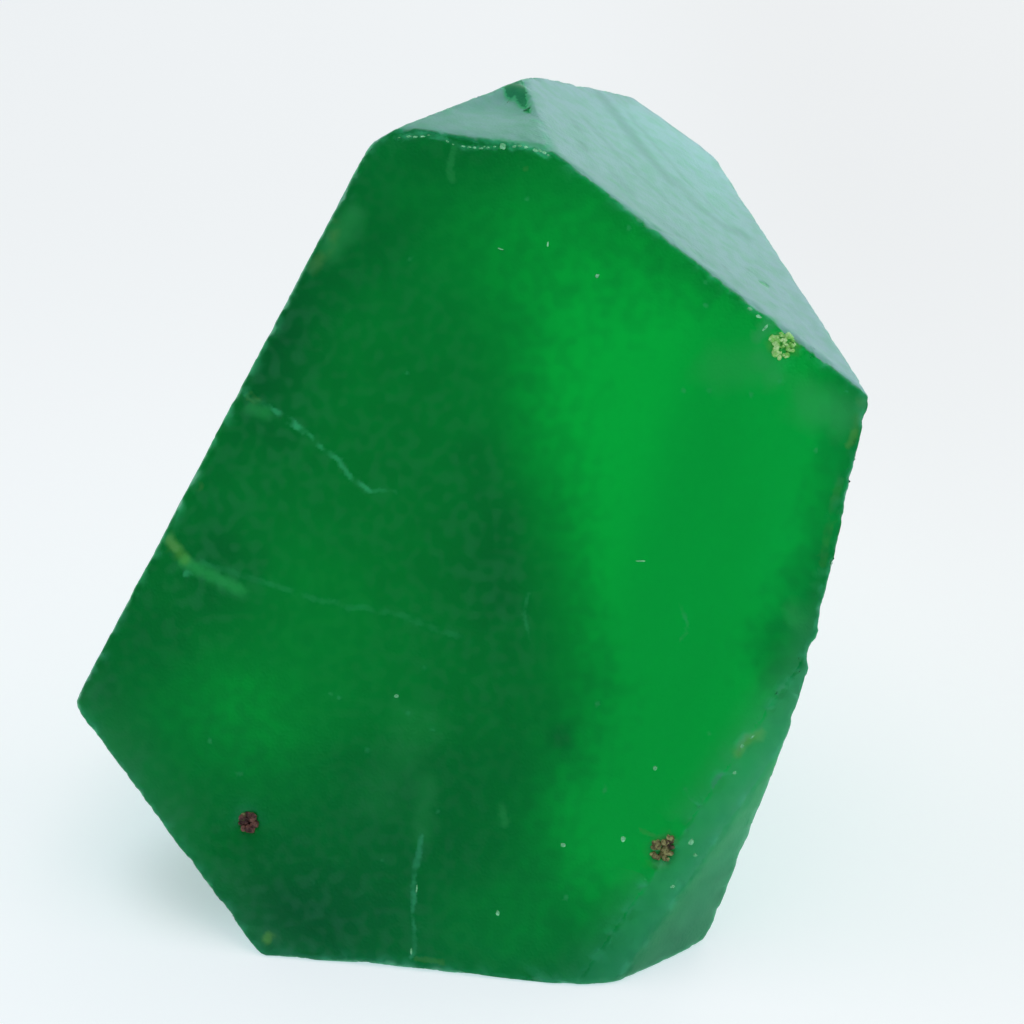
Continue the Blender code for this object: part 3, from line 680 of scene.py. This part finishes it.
def skin_frost(point, planes, bare):
    """How thick the dull skin is, the front face left out: patchy, and thinned near the floor, which makes
    the faces there darker and greener as painted shade.
    """
    others = {name: plane for name, plane in planes.items() if name != "front"}
    name, other, distance = nearest_faces(point, others)
    own = ease(distance, -0.3, 0.3)
    frost = FACETS[name].frost * own + FACETS[other].frost * (1.0 - own)
    patches = 0.92 + 0.20 * noise.noise(point * 0.8) + 0.12 * noise.noise(point * 1.9)
    if name in PATCHY_FACES:
        patches *= worn_patches(point, name, planes)
    # Painted shade: the skin thins toward the floor, so the faces turn darker and greener there.
    painted_floor_shade = 0.55 + 0.45 * ease(point.z, 0.5, 8.0)
    return max(0.0, frost * patches) * painted_floor_shade * (1.0 - bare)


def edge_wear(point, distance):
    """How worn and pale the surface is along the edges, in patches."""
    return 0.30 * (1.0 - ease(distance, 0.0, 0.5)) * ease(noise.noise(point * 1.6), 0.0, 0.5)


def smooth_open_faces(mesh, planes):
    """Smooths the solid's coarse facets away, but not its edges and its foot."""
    open_corners = []
    for corner in mesh.verts:
        if corner.co.z > OPEN_HEIGHT and nearest_faces(corner.co, planes)[2] > OPEN_DISTANCE:
            open_corners.append(corner)
    every_way = {"use_axis_x": True, "use_axis_y": True, "use_axis_z": True}
    for _ in range(SMOOTHING_PASSES):
        bmesh.ops.smooth_vert(mesh, verts=open_corners, factor=0.5, **every_way)


def surface_colours(point, name, distance, tones, planes):
    """The colours skin (frost, painted glow, green share, shade) and marks (pale, tan, yellow, haze) at a
    point;
    frost also carries painted shade, and pale a painted highlight.
    """
    frost = skin_frost(point, planes, tones["bare"])
    green = green_share(point, name, planes, tones["bare"])
    pale = max(tones["pale"], edge_wear(point, distance))
    skin = (frost, painted_glow_at(point, planes), green, min(tones["shade"], 1.0))
    return skin, (pale, tones["tan"], tones["yellow"], tones["haze"])


def weather_surface(mesh, planes):
    """Gives the solid's mesh its relief, skin and marks, and returns it as a tree to cast rays at."""
    marks = mark_samples(planes)
    low = [min(corner.co[axis] for corner in mesh.verts) for axis in range(3)]
    high = [max(corner.co[axis] for corner in mesh.verts) for axis in range(3)]
    peak = max((corner.co for corner in mesh.verts), key=lambda place: place.z).copy()
    divide(mesh, planes, marks)
    smooth_open_faces(mesh, planes)
    even_edges(mesh, planes)
    mesh.normal_update()

    skin_layer = mesh.verts.layers.float_color.new("skin")
    mark_layer = mesh.verts.layers.float_color.new("marks")
    normals = {corner: corner.normal.copy() for corner in mesh.verts}
    for corner, normal in normals.items():
        name, _, distance = nearest_faces(corner.co, planes)
        tones = tones_at(corner.co, name, marks)
        corner[skin_layer], corner[mark_layer] = surface_colours(corner.co, name, distance, tones, planes)
        if corner.co.z > FOOT_HEIGHT:
            corner.co -= normal * relief(corner.co, name, distance, tones, planes, peak)
        corner.co = [min(max(value, least), most) for value, least, most in zip(corner.co, low, high)]
    return BVHTree.FromBMesh(mesh)


def finish_piece(mesh, name, material):
    """Stores a mesh that was worked out in mm as a smooth-shaded object at the origin."""
    bmesh.ops.transform(mesh, matrix=Matrix.Scale(MM, 4), verts=mesh.verts)
    data = bpy.data.meshes.new(name)
    mesh.to_mesh(data)
    mesh.free()
    data.polygons.foreach_set("use_smooth", [True] * len(data.polygons))
    data.materials.append(material)
    piece = bpy.data.objects.new(name, data)
    bpy.context.scene.collection.objects.link(piece)
    return piece


# --- the mineral grains in the pits and the chip ---


def resting_point(face, across, up, planes, skin):
    """The point of the finished surface that lies under a point of a face's plane."""
    normal = planes[face][0]
    start = on_face(face, across, up, planes) + normal * 2.0
    return skin.ray_cast(start, -normal)[0]


def lumpy_stone(mesh, detail, shape, chance):
    """Adds a lumpy stone one unit in radius, which the matrix shape then sizes and places."""
    made = bmesh.ops.create_icosphere(mesh, subdivisions=detail, radius=1.0)["verts"]
    offset = Vector([chance.uniform(0.0, 50.0) for _ in range(3)])
    for corner in made:
        lumps = 0.35 * noise.noise(corner.co * 1.6 + offset) + 0.12 * noise.noise(corner.co * 5.0 + offset)
        corner.co *= 1.0 + lumps
    bmesh.ops.transform(mesh, matrix=shape, verts=made)


def mineral_grains(name, material, planes, skin, spots, chance):
    """Clusters of broken grains on the front face: (across, up, spread, grain size, count, height)."""
    mesh = bmesh.new()
    normal = planes["front"][0]
    turn = normal.to_track_quat("Z", "Y").to_matrix().to_4x4()
    for across, up, spread, size, count, height in spots:
        for _ in range(count):
            angle = chance.uniform(0.0, 2 * math.pi)
            out = spread * math.sqrt(chance.uniform(0.0, 1.0))
            spot = (across + out * math.cos(angle), up + out * math.sin(angle))
            place = resting_point("front", *spot, planes, skin)
            grain = size * chance.uniform(0.6, 1.25)
            spin = Euler([chance.uniform(0.0, 6.28) for _ in range(3)]).to_matrix().to_4x4()
            flat = Matrix.Diagonal((grain, grain * chance.uniform(0.6, 1.0), grain * 0.75, 1.0))
            set_in = Matrix.Translation(place + normal * height * chance.uniform(-0.3, 1.0))
            lumpy_stone(mesh, 3, set_in @ turn @ spin @ flat, chance)
    return finish_piece(mesh, name, material)


def add_fleck(mesh, across, up, length, width, heading, planes, skin, chance):
    """Adds one flat fleck, set in the front face so that only its top shows."""
    normal = planes["front"][0]
    level, rise = directions_on(normal)
    thickness = 0.05
    place = resting_point("front", across, up, planes, skin) - normal * thickness * 0.5
    axes = Matrix((level, rise, normal)).transposed().to_4x4()
    turn = Matrix.Rotation(math.radians(heading), 4, "Z")
    flat = Matrix.Diagonal((length / 2, width / 2, thickness, 1.0))
    lumpy_stone(mesh, 2, Matrix.Translation(place) @ axes @ turn @ flat, chance)


def pale_flecks(material, planes, skin, chance):
    """The pale flecks of the front face, and the beads along its upper rim."""
    mesh = bmesh.new()
    for across, up, length, width, heading in FLECKS:
        add_fleck(mesh, across, up, length, width, heading, planes, skin, chance)
    for points, spacing, length, width in FLECK_LINES:
        for start, end in zip(points, points[1:]):
            along = Vector(end) - Vector(start)
            heading = math.degrees(math.atan2(along.y, along.x))
            count = max(1, round(along.length / spacing))
            for step in range(count):
                place = Vector(start) + along * ((step + chance.uniform(0.2, 0.8)) / count)
                place.y += chance.uniform(-0.07, 0.07)
                grow = chance.uniform(0.5, 1.2)
                fleck = (place.x, place.y, length * grow, width * grow, heading)
                add_fleck(mesh, *fleck, planes, skin, chance)
    return finish_piece(mesh, "pale_flecks", material)


# --- shader helpers ---


def add(tree, kind, sockets=None, **settings):
    """Adds a shader node. A socket is given a number, a colour or another node's output."""
    made = tree.nodes.new("ShaderNode" + kind)
    for label, value in settings.items():
        setattr(made, label, value)
    for label, value in (sockets or {}).items():
        if isinstance(value, bpy.types.NodeSocket):
            tree.links.new(value, made.inputs[label])
        else:
            made.inputs[label].default_value = value
    return made


def calculate(tree, operation, *values):
    """A Math node's result."""
    return add(tree, "Math", dict(enumerate(values)), operation=operation).outputs[0]


def rescale(tree, value, start, end, low=0.0, high=1.0):
    """The value eased from low to high as it goes from start to end."""
    sockets = {"Value": value, "From Min": start, "From Max": end, "To Min": low, "To Max": high}
    return add(tree, "MapRange", sockets, interpolation_type="SMOOTHSTEP").outputs["Result"]


def mix_colours(tree, factor, first, second):
    """The first colour at a factor of 0, and the second at 1."""
    sockets = {0: factor, 6: first, 7: second}
    return add(tree, "Mix", sockets, data_type="RGBA").outputs[2]


def in_mm(tree):
    """The place on the piece in mm."""
    place = add(tree, "TexCoord").outputs["Object"]
    return add(tree, "VectorMath", {0: place, "Scale": 1 / MM}, operation="SCALE").outputs["Vector"]


def use_group(tree, group, sockets):
    """The result of a node group that is given the sockets' values."""
    return add(tree, "Group", sockets, node_tree=group).outputs[0]


def new_group(name, inputs, output):
    """A shader node group with a vector named Place, the named numbers as inputs and one output."""
    group = bpy.data.node_groups.new(name, "ShaderNodeTree")
    group.interface.new_socket("Place", in_out="INPUT", socket_type="NodeSocketVector")
    for label, value in inputs.items():
        socket = group.interface.new_socket(label, in_out="INPUT", socket_type="NodeSocketFloat")
        socket.default_value = value
    group.interface.new_socket(output, in_out="OUTPUT", socket_type="NodeSocketFloat")
    return group, group.nodes.new("NodeGroupInput").outputs, group.nodes.new("NodeGroupOutput").inputs


def specks_group():
    """Small scattered specks: Spacing and Size in mm, and the Share of places that have one."""
    group, given, result = new_group("specks", {"Spacing": 1.0, "Size": 0.1, "Share": 0.3}, "Mask")
    scale = calculate(group, "DIVIDE", 1.0, given["Spacing"])
    cells = add(group, "TexVoronoi", {"Vector": given["Place"], "Scale": scale, "Randomness": 1.0})
    chance = add(group, "SeparateColor", {"Color": cells.outputs["Color"]}).outputs
    radius = calculate(group, "MULTIPLY", given["Size"], scale)
    radius = calculate(group, "MULTIPLY", radius, rescale(group, chance["Green"], 0.0, 1.0, 0.5, 1.4))
    near = calculate(group, "LESS_THAN", cells.outputs["Distance"], radius)
    edge = calculate(group, "DIVIDE", cells.outputs["Distance"], radius)
    soft = rescale(group, edge, 1.0, 0.35)
    chosen = calculate(group, "LESS_THAN", chance["Red"], given["Share"])
    speck = calculate(group, "MULTIPLY", near, soft)
    mask = calculate(group, "MULTIPLY", speck, chosen)
    group.links.new(mask, result["Mask"])
    return group


def grain_group():
    """Fine roughness as a height: Fineness is how many grains there are to the mm."""
    group, given, result = new_group("fine_grain", {"Fineness": 8.0, "Pitting": 0.3}, "Height")
    sockets = {"Vector": given["Place"], "Scale": given["Fineness"], "Detail": 0.0}
    bumps = add(group, "TexNoise", sockets).outputs[0]
    hollow = calculate(group, "MULTIPLY", rescale(group, bumps, 0.46, 0.30), given["Pitting"])
    group.links.new(calculate(group, "SUBTRACT", bumps, hollow), result["Height"])
    return group


SPECKS = specks_group()
FINE_GRAIN = grain_group()


def new_material(name):
    """(material, node tree, Principled shader) of a new material."""
    material = bpy.data.materials.new(name)
    material.use_nodes = True
    return material, material.node_tree, material.node_tree.nodes["Principled BSDF"]


# --- the finishes ---

# The front face's painted glow runs from deep through middle to bright green.
DEEP_GREEN = (0.003, 0.120, 0.038, 1.0)
MIDDLE_GREEN = (0.001, 0.37, 0.056, 1.0)
BRIGHT_GREEN = (0.001, 0.92, 0.105, 1.0)
MILKY_GREEN = (0.10, 0.36, 0.25, 1.0)
FROST_GREEN = (0.02, 0.68, 0.21, 1.0)
FROST_PALE = (0.60, 0.86, 1.0, 1.0)
# Pale for healed cracks, nicks, spots and worn edges, and for the painted highlight along the top rim.
PALE_MARK_AND_HIGHLIGHT = (0.15, 1.0, 0.60, 1.0)
STAIN_TAN = (0.28, 0.62, 0.20, 1.0)
CHIP_YELLOW = (0.42, 0.88, 0.16, 1.0)
HAZE_GREEN = (0.10, 0.86, 0.28, 1.0)
SHADE_TEAL = (0.17, 0.42, 0.42, 1.0)


def front_mask(tree, place, green, planes):
    """1 on the clear front face and 0 off it. A green share above 1 shows off the face's plane as well."""
    normal, reach = planes["front"]
    height = add(tree, "VectorMath", {0: place, 1: normal}, operation="DOT_PRODUCT").outputs["Value"]
    clear = calculate(tree, "MINIMUM", green, 1.0)
    on_plane = calculate(tree, "MULTIPLY", rescale(tree, height, reach - 0.16, reach - 0.05), clear)
    return calculate(tree, "MAXIMUM", on_plane, calculate(tree, "SUBTRACT", green, 1.0))


def front_colour(tree, painted_glow, shade, mottle):
    """The clear face's green: bright where the painted glow is strong, deep where it is weak, and milky in
    its clouds.
    """
    clouded = calculate(tree, "MULTIPLY_ADD", shade, -0.50, 1.0)
    uneven = rescale(tree, mottle, 0.25, 0.75, 0.94, 1.06)
    painted_glow = calculate(tree, "MULTIPLY", calculate(tree, "MULTIPLY", painted_glow, uneven), clouded)
    dark_half = mix_colours(tree, rescale(tree, painted_glow, 0.0, 0.45), DEEP_GREEN, MIDDLE_GREEN)
    green = mix_colours(tree, rescale(tree, painted_glow, 0.35, 0.95), dark_half, BRIGHT_GREEN)
    milky = rescale(tree, mottle, 0.40, 0.75, 0.0, 0.24)
    milky = calculate(tree, "MULTIPLY", milky, rescale(tree, painted_glow, 0.55, 0.12))
    return mix_colours(tree, milky, green, MILKY_GREEN)


def frosted_colour(tree, frost, shade, mottle):
    """The dull faces' colour: pale where the skin is thick, and the deep body where it is off or thinned,
    which near the floor and below the peak is painted shade.
    """
    uneven = rescale(tree, mottle, 0.25, 0.75, 0.90, 1.08)
    dulled = mix_colours(tree, calculate(tree, "MULTIPLY", frost, uneven), FROST_GREEN, FROST_PALE)
    dulled = mix_colours(tree, rescale(tree, frost, 0.0, 0.16), DEEP_GREEN, dulled)
    return mix_colours(tree, calculate(tree, "MULTIPLY", shade, 0.72), dulled, SHADE_TEAL)


def marked_colour(tree, colour):
    """The colour with its marks over it: bruises, healed cracks, chips and stains, and the painted highlight
    along the top rim.
    """
    attribute = add(tree, "Attribute", attribute_name="marks").outputs
    marks = add(tree, "SeparateColor", {"Color": attribute["Color"]}).outputs
    colour = mix_colours(tree, attribute["Alpha"], colour, HAZE_GREEN)
    colour = mix_colours(tree, marks["Red"], colour, PALE_MARK_AND_HIGHLIGHT)
    colour = mix_colours(tree, marks["Blue"], colour, CHIP_YELLOW)
    return mix_colours(tree, marks["Green"], colour, STAIN_TAN)


def emerald_material(planes):
    """A green body that light passes, under a skin that is clear in front and dull elsewhere."""
    material, tree, shader = new_material("emerald")
    place = in_mm(tree)
    attribute = add(tree, "Attribute", attribute_name="skin").outputs
    shade = attribute["Alpha"]
    skin = add(tree, "SeparateColor", {"Color": attribute["Color"]}).outputs
    mottle = add(tree, "TexNoise", {"Vector": place, "Scale": 1.7, "Detail": 0.0}).outputs[0]
    front = front_mask(tree, place, skin["Blue"], planes)
    dull_colour = frosted_colour(tree, skin["Red"], shade, mottle)
    # The front face's colour carries the painted glow, which the skin attribute holds in its green channel.
    colour = mix_colours(tree, front, dull_colour, front_colour(tree, skin["Green"], shade, mottle))
    tree.links.new(marked_colour(tree, colour), shader.inputs["Base Color"])

    thick_skin = rescale(tree, skin["Red"], 0.0, 1.0, 0.45, 1.0)
    dull = calculate(tree, "MULTIPLY", calculate(tree, "SUBTRACT", 1.0, front), thick_skin)
    tree.links.new(rescale(tree, dull, 0.0, 1.0, 0.40, 0.68), shader.inputs["Roughness"])
    grain = use_group(tree, FINE_GRAIN, {"Place": place, "Fineness": 7.0, "Pitting": 0.35})
    bump = add(tree, "Bump", {"Height": grain, "Strength": 0.22, "Distance": 0.03 * MM})
    tree.links.new(bump.outputs[0], shader.inputs["Normal"])

    shader.inputs["Metallic"].default_value = 0.0
    shader.inputs["Transmission Weight"].default_value = 0.60
    shader.inputs["IOR"].default_value = 1.58
    shader.inputs["Specular Tint"].default_value = (0.15, 0.90, 0.85, 1.0)
    body = add(tree, "VolumeAbsorption", {"Color": (0.0, 0.85, 0.50, 1.0), "Density": 220.0})
    tree.links.new(body.outputs[0], tree.nodes["Material Output"].inputs["Volume"])
    return material


def grain_material(name, dark, light, roughness):
    """An opaque mineral: two colours in patches, with a crumbly skin."""
    material, tree, shader = new_material(name)
    place = in_mm(tree)
    patches = add(tree, "TexNoise", {"Vector": place, "Scale": 3.0, "Detail": 4.0}).outputs[0]
    specks = use_group(tree, SPECKS, {"Place": place, "Spacing": 0.16, "Size": 0.05, "Share": 0.4})
    specks = calculate(tree, "MULTIPLY", specks, 0.6)
    tone = calculate(tree, "MAXIMUM", rescale(tree, patches, 0.38, 0.66), specks)
    tree.links.new(mix_colours(tree, tone, dark, light), shader.inputs["Base Color"])
    shader.inputs["Roughness"].default_value = roughness
    grain = use_group(tree, FINE_GRAIN, {"Place": place, "Fineness": 14.0, "Pitting": 0.5})
    bump = add(tree, "Bump", {"Height": grain, "Strength": 0.8, "Distance": 0.04 * MM})
    tree.links.new(bump.outputs[0], shader.inputs["Normal"])
    return material


# --- the floor, the light and the camera ---


def make_floor():
    """A pale floor with a faint painted glow of its own, weaker at the back and on the right, and dimmed
    into a painted shadow beside the crystal.
    """
    material, tree, shader = new_material("white_sweep")
    place = in_mm(tree)
    axes = add(tree, "SeparateXYZ", {"Vector": place}).outputs
    from_floor_shadow = add(tree, "VectorMath", {0: place, 1: FLOOR_SHADOW_PLACE}, operation="DISTANCE").outputs["Value"]
    # Painted light and shadow: the floor's glow fades toward the back and the right, and dims beside the
    # crystal.
    painted_glow = rescale(tree, axes["Y"], -70.0, 110.0, 0.69, 0.56)
    painted_glow = calculate(tree, "MULTIPLY", painted_glow, rescale(tree, axes["X"], 2.0, 34.0, 1.0, 0.92))
    painted_glow = calculate(tree, "MULTIPLY", painted_glow, rescale(tree, from_floor_shadow, 2.0, 8.0, 0.72, 1.0))
    shader.inputs["Base Color"].default_value = (0.56, 0.495, 0.44, 1.0)
    shader.inputs["Roughness"].default_value = 1.0
    shader.inputs["Specular IOR Level"].default_value = 0.0
    shader.inputs["Emission Color"].default_value = (0.76, 0.89, 0.99, 1.0)
    tree.links.new(painted_glow, shader.inputs["Emission Strength"])
    material.cycles.emission_sampling = "NONE"
    mesh = bmesh.new()
    bmesh.ops.create_grid(mesh, x_segments=1, y_segments=1, size=6000.0)
    bmesh.ops.translate(mesh, vec=(0.0, 0.0, -0.02), verts=mesh.verts)
    floor = finish_piece(mesh, "floor", material)


def make_world():
    """A pale room with a dark end behind the camera, which keeps the front face's green deep."""
    world = bpy.data.worlds.new("studio")
    bpy.context.scene.world = world
    world.use_nodes = True
    tree = world.node_tree
    background = tree.nodes["Background"]
    direction = add(tree, "TexCoord").outputs["Generated"]
    sockets = {0: direction, 1: Vector(DARK_END).normalized()}
    alignment = add(tree, "VectorMath", sockets, operation="DOT_PRODUCT").outputs["Value"]
    strength = rescale(tree, alignment, 0.88, 0.42, 0.0, 0.80)
    seen = add(tree, "LightPath").outputs["Is Camera Ray"]
    strength = add(tree, "Mix", {0: seen, 2: strength, 3: 0.87}, data_type="FLOAT").outputs[0]
    background.inputs["Color"].default_value = (0.95, 0.98, 1.0, 1.0)
    tree.links.new(strength, background.inputs["Strength"])


def make_softbox(name, place_mm, aim_mm, size_mm, radiance):
    """A square light that faces its aim."""
    light = bpy.data.lights.new(name, "AREA")
    light.shape = "SQUARE"
    light.size = size_mm * MM
    light.energy = radiance * math.pi * light.size**2
    lamp = bpy.data.objects.new(name, light)
    lamp.location = Vector(place_mm) * MM
    lamp.rotation_mode = "QUATERNION"
    lamp.rotation_quaternion = (Vector(aim_mm) - Vector(place_mm)).to_track_quat("-Z", "Y")
    bpy.context.scene.collection.objects.link(lamp)


def make_camera():
    """The camera in front of the crystal, looking down at it."""
    pitch = math.radians(CAMERA_PITCH)
    ahead = Vector((0.0, math.cos(pitch), -math.sin(pitch)))
    lens = bpy.data.cameras.new("camera")
    lens.lens = CAMERA_LENS
    lens.sensor_width = SENSOR
    lens.clip_start = 0.01
    lens.clip_end = 20.0
    camera = bpy.data.objects.new("camera", lens)
    camera.location = (Vector(CAMERA_AIM) - ahead * CAMERA_DISTANCE) * MM
    camera.rotation_euler = (math.pi / 2 - pitch, 0.0, 0.0)
    bpy.context.scene.collection.objects.link(camera)
    bpy.context.scene.camera = camera


# --- the pieces, put together ---

crystal = merged_copy(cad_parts["emerald_crystal"])
planes = planes_of(crystal)
skin = weather_surface(crystal, planes)
surface = finish_piece(crystal, "emerald_surface", emerald_material(planes))
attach(surface, "root")
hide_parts("emerald_crystal")

chance = random.Random(SEED)
iron = grain_material("iron_mineral", (0.050, 0.017, 0.016, 1.0), (0.25, 0.11, 0.085, 1.0), 0.75)
umber = grain_material("dark_brown_mineral", (0.035, 0.024, 0.014, 1.0), (0.16, 0.105, 0.06, 1.0), 0.75)
mica = grain_material("brown_mineral", (0.10, 0.085, 0.030, 1.0), (0.42, 0.42, 0.17, 1.0), 0.70)
calcite = grain_material("yellow_mineral", (0.24, 0.72, 0.12, 1.0), (0.62, 1.0, 0.44, 1.0), 0.50)
pale = grain_material("pale_mineral", (0.14, 0.60, 0.26, 1.0), (0.34, 0.92, 0.52, 1.0), 0.60)
for piece in (
    mineral_grains("left_pit_grains", iron, planes, skin, LEFT_PIT, chance),
    mineral_grains("left_pit_core", mica, planes, skin, LEFT_CORE, chance),
    mineral_grains("right_pit_grains", mica, planes, skin, RIGHT_PIT, chance),
    mineral_grains("right_pit_core", umber, planes, skin, RIGHT_CORE, chance),
    mineral_grains("chip_grains", calcite, planes, skin, CHIP_CRUMBS, chance),
    pale_flecks(pale, planes, skin, chance),
):
    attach(piece, "root")

make_floor()
make_world()
make_softbox("overhead", (10.0, -150.0, 400.0), (0.0, 0.0, 10.0), 260.0, 1.3)
make_softbox("right_window", (380.0, 160.0, 120.0), (0.0, 0.0, 20.0), 220.0, 1.8)
make_softbox("back_window", (180.0, 400.0, 110.0), (0.0, 0.0, 30.0), 200.0, 2.2)
make_camera()
bpy.context.scene.view_settings.view_transform = "Standard"
